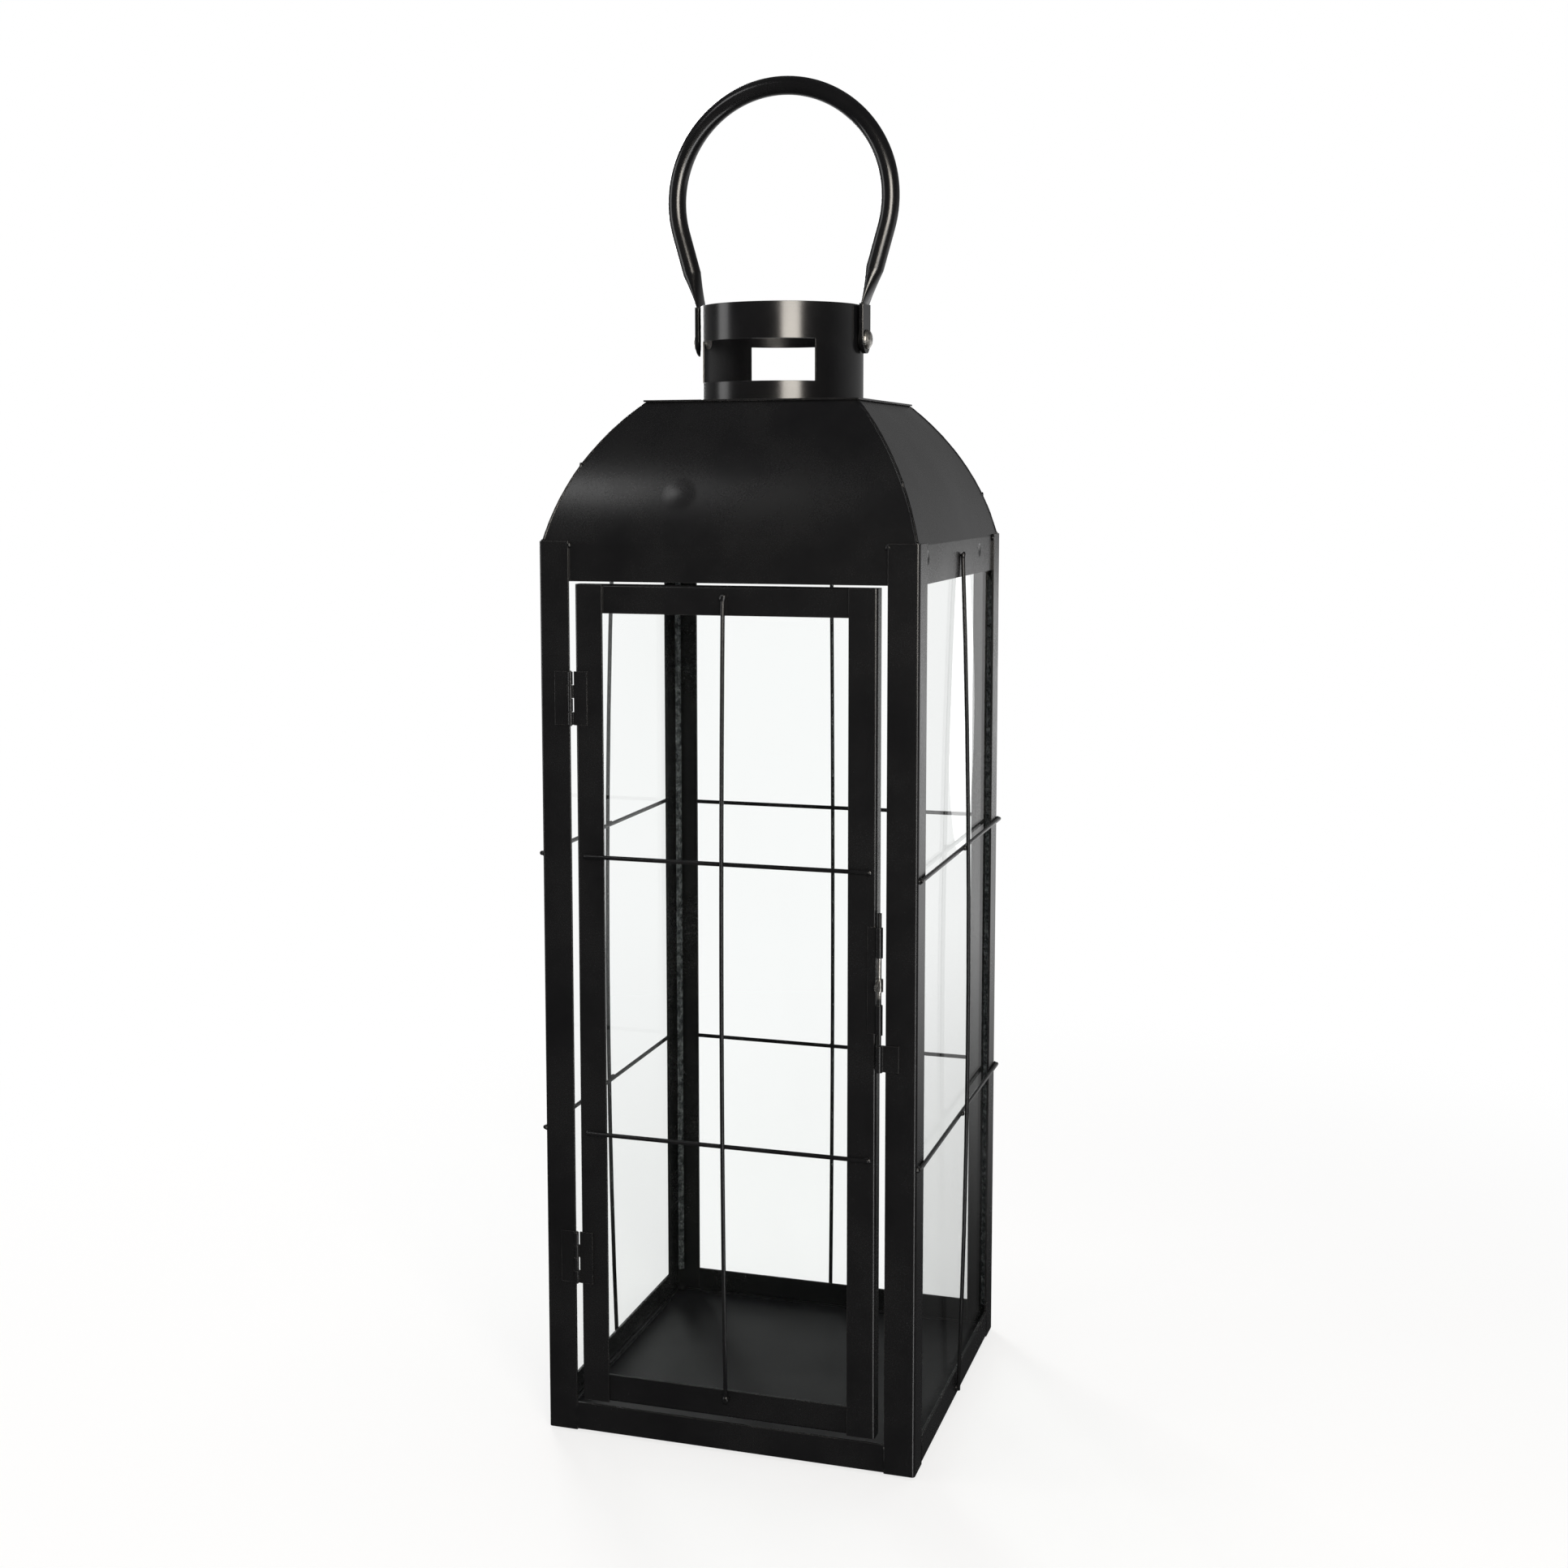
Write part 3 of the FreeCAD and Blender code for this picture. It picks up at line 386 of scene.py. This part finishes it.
def hip_seams():
    """The two lips left along each hip of the roof where neighbouring panels are joined.

    Each lip is set back by 0.62 mm from one of its two panels. A few weld blobs sit on the hips.
    """
    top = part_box("roof_panel_front")[1][2]
    fold = FOLD_Z * MM
    work = bmesh.new()
    for side_x in (-1, 1):
        for side_y in (-1, 1):
            for lean_x, lean_y in ((0.62, 0.05), (0.05, 0.62)):
                path = []
                for i in range(61):
                    z = fold + (top - 0.2 * MM - fold) * i / 60
                    wobble = 0.10 * MM * noise.noise(Vector((z * 90, side_x + lean_x, side_y)))
                    x = side_x * (arc_out(z) - lean_x * MM + wobble)
                    y = side_y * (arc_out(z) - lean_y * MM + wobble)
                    path.append(Vector((x, y, z)))
                bead(work, path, 0.42 * MM, 0.25, seed=3.0 * side_x + side_y + lean_x)
    for side_x, side_y, height in ((1, -1, 452.0), (1, 1, 446.0), (-1, -1, 461.0), (-1, 1, 440.0)):
        z = height * MM
        spot = Vector((side_x * arc_out(z), side_y * arc_out(z), z))
        lump(work, spot, mm(0.6, 0.6, 1.3), side_x + 2.0 * side_y)
    for side_x in (-1, 1):
        for side_y in (-1, 1):
            spot = Vector((side_x * 88.4 * MM, side_y * 88.4 * MM, fold + 0.4 * MM))
            lump(work, spot, mm(1.0, 1.0, 1.5), 7.0 * side_x + side_y)
    return piece_of("roof_hip_seams", work, "lantern", black_tube)


def wire_welds(name, body, wires, crossings):
    """A weld blob at both ends of each wire, and one where two wires cross."""
    work = bmesh.new()
    for seed, wire in enumerate(wires):
        low, high = (Vector(corner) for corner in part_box(wire))
        reach = max(range(3), key=lambda axis: high[axis] - low[axis])
        outward = 1 if abs(low.y + high.y) > abs(low.x + high.x) else 0
        for end in (low, high):
            spot = (low + high) / 2
            spot[reach] = end[reach] - math.copysign(1.0 * MM, end[reach] - spot[reach])
            spot[outward] = math.copysign(90.2 * MM, spot[outward])
            size = [1.5 * MM] * 3
            size[outward] = 0.9 * MM
            size[reach] = 2.0 * MM
            lump(work, spot, size, 1.7 * seed + end[reach] * 40)
    for seed, (level, upright_wire) in enumerate(crossings):
        spot = middle(level)
        cross = middle(upright_wire)
        outward = 1 if abs(spot.y) > abs(spot.x) else 0
        along = 1 - outward
        spot[along] = cross[along]
        spot[outward] += math.copysign(0.9 * MM, spot[outward])
        lump(work, spot, mm(1.1, 1.1, 1.3), 5.3 * seed)
    return piece_of(name, work, body, black_tube)


def frame_welds():
    """Blobs and short runs of weld at the post tops, the apron corners and the floor corners."""
    work = bmesh.new()
    for side_x in (-1, 1):
        for side_y in (-1, 1):
            seed = 3.0 * side_x + side_y
            lump(work, mm(side_x * 75.6, side_y * 89.3, 424.6), mm(1.5, 0.8, 1.6), seed)
            lump(work, mm(side_x * 89.3, side_y * 75.6, 424.6), mm(0.8, 1.5, 1.6), seed + 1.0)
            lump(work, mm(side_x * 84.2, side_y * 84.2, 4.6), mm(2.6, 2.6, 2.0), seed + 2.0)
            for out_x, out_y, step in ((FLANGE_EDGE, POST_FACE, 0.0), (POST_FACE, FLANGE_EDGE, 4.0)):
                x, y = side_x * out_x, side_y * out_y
                bead(work, line(mm(x, y, 3.0), mm(x, y, 14.5), 1.2 * MM), 0.35 * MM, 0.7, seed=seed + step)
    for start, end in (
        (mm(-74, 85.2, 3.4), mm(-20, 85.2, 3.4)),
        (mm(-85.2, -60, 3.4), mm(-85.2, 70, 3.4)),
        (mm(10, 85.2, 3.4), mm(74, 85.2, 3.4)),
        (mm(85.2, -64, 3.4), mm(85.2, 74, 3.4)),
    ):
        bead(work, line(start, end, 1.5 * MM), 0.8 * MM, 0.9, seed=start.x * 90)
    return piece_of("frame_welds", work, "lantern", black_tube)


def sealant_beads(name, body, corners, low, high):
    """Uneven beads of sealant up the corners of the glazing, from low to high, all in mm."""
    work = bmesh.new()
    for seed, (x, y) in enumerate(corners):
        bead(work, line(mm(x, y, low), mm(x, y, high), 1.3 * MM), 0.75 * MM, 0.95, seed=4.1 * seed)
    return piece_of(name, work, body, sealant)


SIDES = ("left", "right", "back")
ROWS = ("lower", "upper")

hip_seams()
frame_welds()
wire_welds(
    "lantern_wire_welds",
    "lantern",
    [f"wire_{side}_{row}" for side in SIDES for row in (*ROWS, "upright")],
    [(f"wire_{side}_{row}", f"wire_{side}_upright") for side in SIDES for row in ROWS],
)
wire_welds(
    "door_wire_welds",
    "door",
    [f"door_wire_{row}" for row in (*ROWS, "upright")],
    [(f"door_wire_{row}", "door_wire_upright") for row in ROWS],
)
post_corners = [(84.6, 84.9), (-84.6, 84.9), (84.9, -84.0), (-84.9, -84.0)]
stile_corners = [(-69.6, -84.6), (68.2, -84.6)]
sealant_beads("corner_sealant_beads", "lantern", post_corners, 16.0, 404.0)
sealant_beads("door_sealant_beads", "door", stile_corners, 20.0, 403.0)


# ---------------------------------------------------------------- stage, light and camera

# Brightness of the floor and the background. The eye sees WHITE. Reflections see a dark studio
# (DARK) with a SWEEP low down behind the object, a floor that brightens to FAR behind it, and a GLINT
# on the floor at the front right, which draws the thin light line on the heels of post and door.
WHITE = 1.0
DARK, SWEEP, FAR, GLINT = 0.035, 0.28, 0.75, 6.0

# The glint is a wedge that opens from the near corner of the body. Its two sides each fade in over
# these angles, in degrees.
NEAR_CORNER = 0.09
GLINT_SIDES = ((-64, -56), (-42, -50))


def floor():
    """A round pale floor that runs out into the white of the background."""
    mesh = bpy.data.meshes.new("floor")
    work = bmesh.new()
    bmesh.ops.create_circle(work, cap_ends=True, segments=96, radius=9.0)
    work.to_mesh(mesh)
    work.free()
    piece = bpy.data.objects.new("floor", mesh)
    bpy.context.scene.collection.objects.link(piece)
    paint = Finish("floor_paper")
    paint.set(Base_Color=(0.92, 0.92, 0.92, 1.0), Roughness=0.9, Specular_IOR_Level=0.1)
    parts = paint.add("ShaderNodeSeparateXYZ")
    paint.put(parts.inputs[0], paint.place)
    white, studio = (paint.add("ShaderNodeEmission") for _ in range(2))
    white.inputs["Strength"].default_value = WHITE
    far = paint.remap(parts.outputs["Y"], 0.1, 1.2, DARK, FAR)
    from_corner_x = paint.math("SUBTRACT", parts.outputs["X"], NEAR_CORNER)
    from_corner_y = paint.math("ADD", parts.outputs["Y"], NEAR_CORNER)
    turn = paint.math("ARCTAN2", from_corner_y, from_corner_x)
    start, end = (paint.remap(turn, math.radians(dim), math.radians(full)) for dim, full in GLINT_SIDES)
    glint = paint.math("MULTIPLY", paint.math("MULTIPLY", start, end), GLINT)
    paint.put(studio.inputs["Strength"], paint.math("ADD", far, glint))
    light = paint.add("ShaderNodeLightPath")
    seen, mirrored = (paint.add("ShaderNodeMixShader") for _ in range(2))
    # Close to the object the paper takes a little shade, and further out it only glows white.
    paint.put(seen.inputs[0], paint.remap(paint.near((0.0, 0.0, 0.0), 1.6), 0.92, 0.5, 0.72, 1.0))
    paint.put(seen.inputs[1], paint.shader.outputs[0])
    paint.put(seen.inputs[2], white.outputs[0])
    paint.put(mirrored.inputs[0], paint.math("MINIMUM", light.outputs["Glossy Depth"], 1.0))
    paint.put(mirrored.inputs[1], seen.outputs[0])
    paint.put(mirrored.inputs[2], studio.outputs[0])
    paint.put(paint.output.inputs["Surface"], mirrored.outputs[0])
    mesh.materials.append(paint.material)


def backdrop():
    """White all round to the eye, and a studio to reflections."""
    world = bpy.data.worlds.new("studio")
    bpy.context.scene.world = world
    world.use_nodes = True
    tree = world.node_tree
    tree.nodes.clear()

    def add(kind, *values, **settings):
        node = tree.nodes.new(kind)
        for key, value in settings.items():
            setattr(node, key, value)
        for socket, value in zip(node.inputs, values):
            if hasattr(value, "is_output"):
                tree.links.new(value, socket)
            else:
                socket.default_value = value
        return node

    place = add("ShaderNodeTexCoord").outputs["Generated"]
    parts = add("ShaderNodeSeparateXYZ", place)
    smooth = {"interpolation_type": "SMOOTHSTEP"}
    behind = add("ShaderNodeMapRange", parts.outputs["Y"], -0.15, 0.75, 0.0, 1.0, **smooth)
    low = add("ShaderNodeMapRange", parts.outputs["Z"], 0.0, 0.60, 1.0, 0.0, **smooth)
    sweep = add("ShaderNodeMath", behind.outputs[0], low.outputs[0], operation="MULTIPLY")
    strength = add("ShaderNodeMath", sweep.outputs[0], SWEEP - DARK, DARK, operation="MULTIPLY_ADD")
    studio = add("ShaderNodeBackground", (1.0, 1.0, 1.0, 1.0), strength.outputs[0])
    white = add("ShaderNodeBackground", (1.0, 1.0, 1.0, 1.0), WHITE)
    light = add("ShaderNodeLightPath")
    glossy, diffuse = light.outputs["Glossy Depth"], light.outputs["Diffuse Depth"]
    bounces = add("ShaderNodeMath", glossy, diffuse, operation="ADD")
    direct = add("ShaderNodeMath", bounces.outputs[0], 0.5, operation="LESS_THAN")
    mix = add("ShaderNodeMixShader", direct.outputs[0], studio.outputs[0], white.outputs[0])
    add("ShaderNodeOutputWorld", mix.outputs[0])


def softbox(name, place, target, size, power, colour=(1.0, 1.0, 1.0)):
    """An area light at place that faces target, seen in reflections but not through glass."""
    light = bpy.data.lights.new(name, "AREA")
    light.shape = "RECTANGLE"
    light.size, light.size_y = size
    light.energy = power
    light.color = colour
    piece = bpy.data.objects.new(name, light)
    piece.location = place
    piece.rotation_euler = (Vector(target) - Vector(place)).to_track_quat("-Z", "Y").to_euler()
    bpy.context.scene.collection.objects.link(piece)
    piece.visible_camera = False
    piece.visible_transmission = False
    return piece


floor()
backdrop()

# The top box gives the even light and shows in no reflection. The others are there to be reflected:
# the roof box in the curve of the roof, the pane box in the right pane, and the rest in the handle,
# the collar and the frame.
top_box = softbox("top_box", (0.0, 0.3, 2.4), (0.0, 0.0, 0.0), (1.6, 1.6), 26)
top_box.visible_glossy = False
softbox("roof_box", (-0.57, -0.76, 1.22), (-0.07, -0.08, 0.45), (0.22, 0.22), 0.75)
softbox("right_box", (0.76, -1.37, 0.72), (0.0, 0.0, 0.55), (0.70, 0.62), 23.0, (1.0, 0.94, 0.85))
softbox("left_box", (-1.49, -0.45, 0.60), (0.0, 0.0, 0.5), (0.50, 1.3), 5.5)
softbox("back_box", (-1.00, 1.30, 0.95), (0.0, 0.0, 0.40), (0.45, 1.2), 16.0)
pane_box = softbox("pane_box", (0.345, 1.22, 0.22), (0.088, 0.05, 0.34), (0.028, 0.34), 0.045)
pane_box.data.shape = "ELLIPSE"
pane_box.visible_diffuse = False

# The camera as measured from the photograph: sensor and focal length in mm, the shift of the lens
# in frame widths, and degrees. The shift down is less than measured, so that turned views keep the
# whole handle.
SENSOR, FOCAL_LENGTH = 36.0, 48.1323
SHIFT_ACROSS, SHIFT_UP = 0.016511, -0.055901
stand = mm(297.8, -982.1, 456.0)
yaw, pitch, roll = (math.radians(angle) for angle in (17.535, 6.013, -0.098))
ahead = Vector((-math.sin(yaw) * math.cos(pitch), math.cos(yaw) * math.cos(pitch), -math.sin(pitch)))
level = Vector((math.cos(yaw), math.sin(yaw), 0.0))
upright = level.cross(ahead)
right = math.cos(roll) * level + math.sin(roll) * upright
up = math.cos(roll) * upright - math.sin(roll) * level

lens = bpy.data.cameras.new("camera")
lens.sensor_width = SENSOR
lens.lens = FOCAL_LENGTH
lens.shift_x, lens.shift_y = SHIFT_ACROSS, SHIFT_UP
lens.clip_start, lens.clip_end = 0.01, 50.0
camera = bpy.data.objects.new("camera", lens)
camera.matrix_world = Matrix.Translation(stand) @ Matrix((right, up, -ahead)).transposed().to_4x4()
bpy.context.scene.collection.objects.link(camera)
bpy.context.scene.camera = camera
bpy.context.scene.view_settings.view_transform = "Standard"
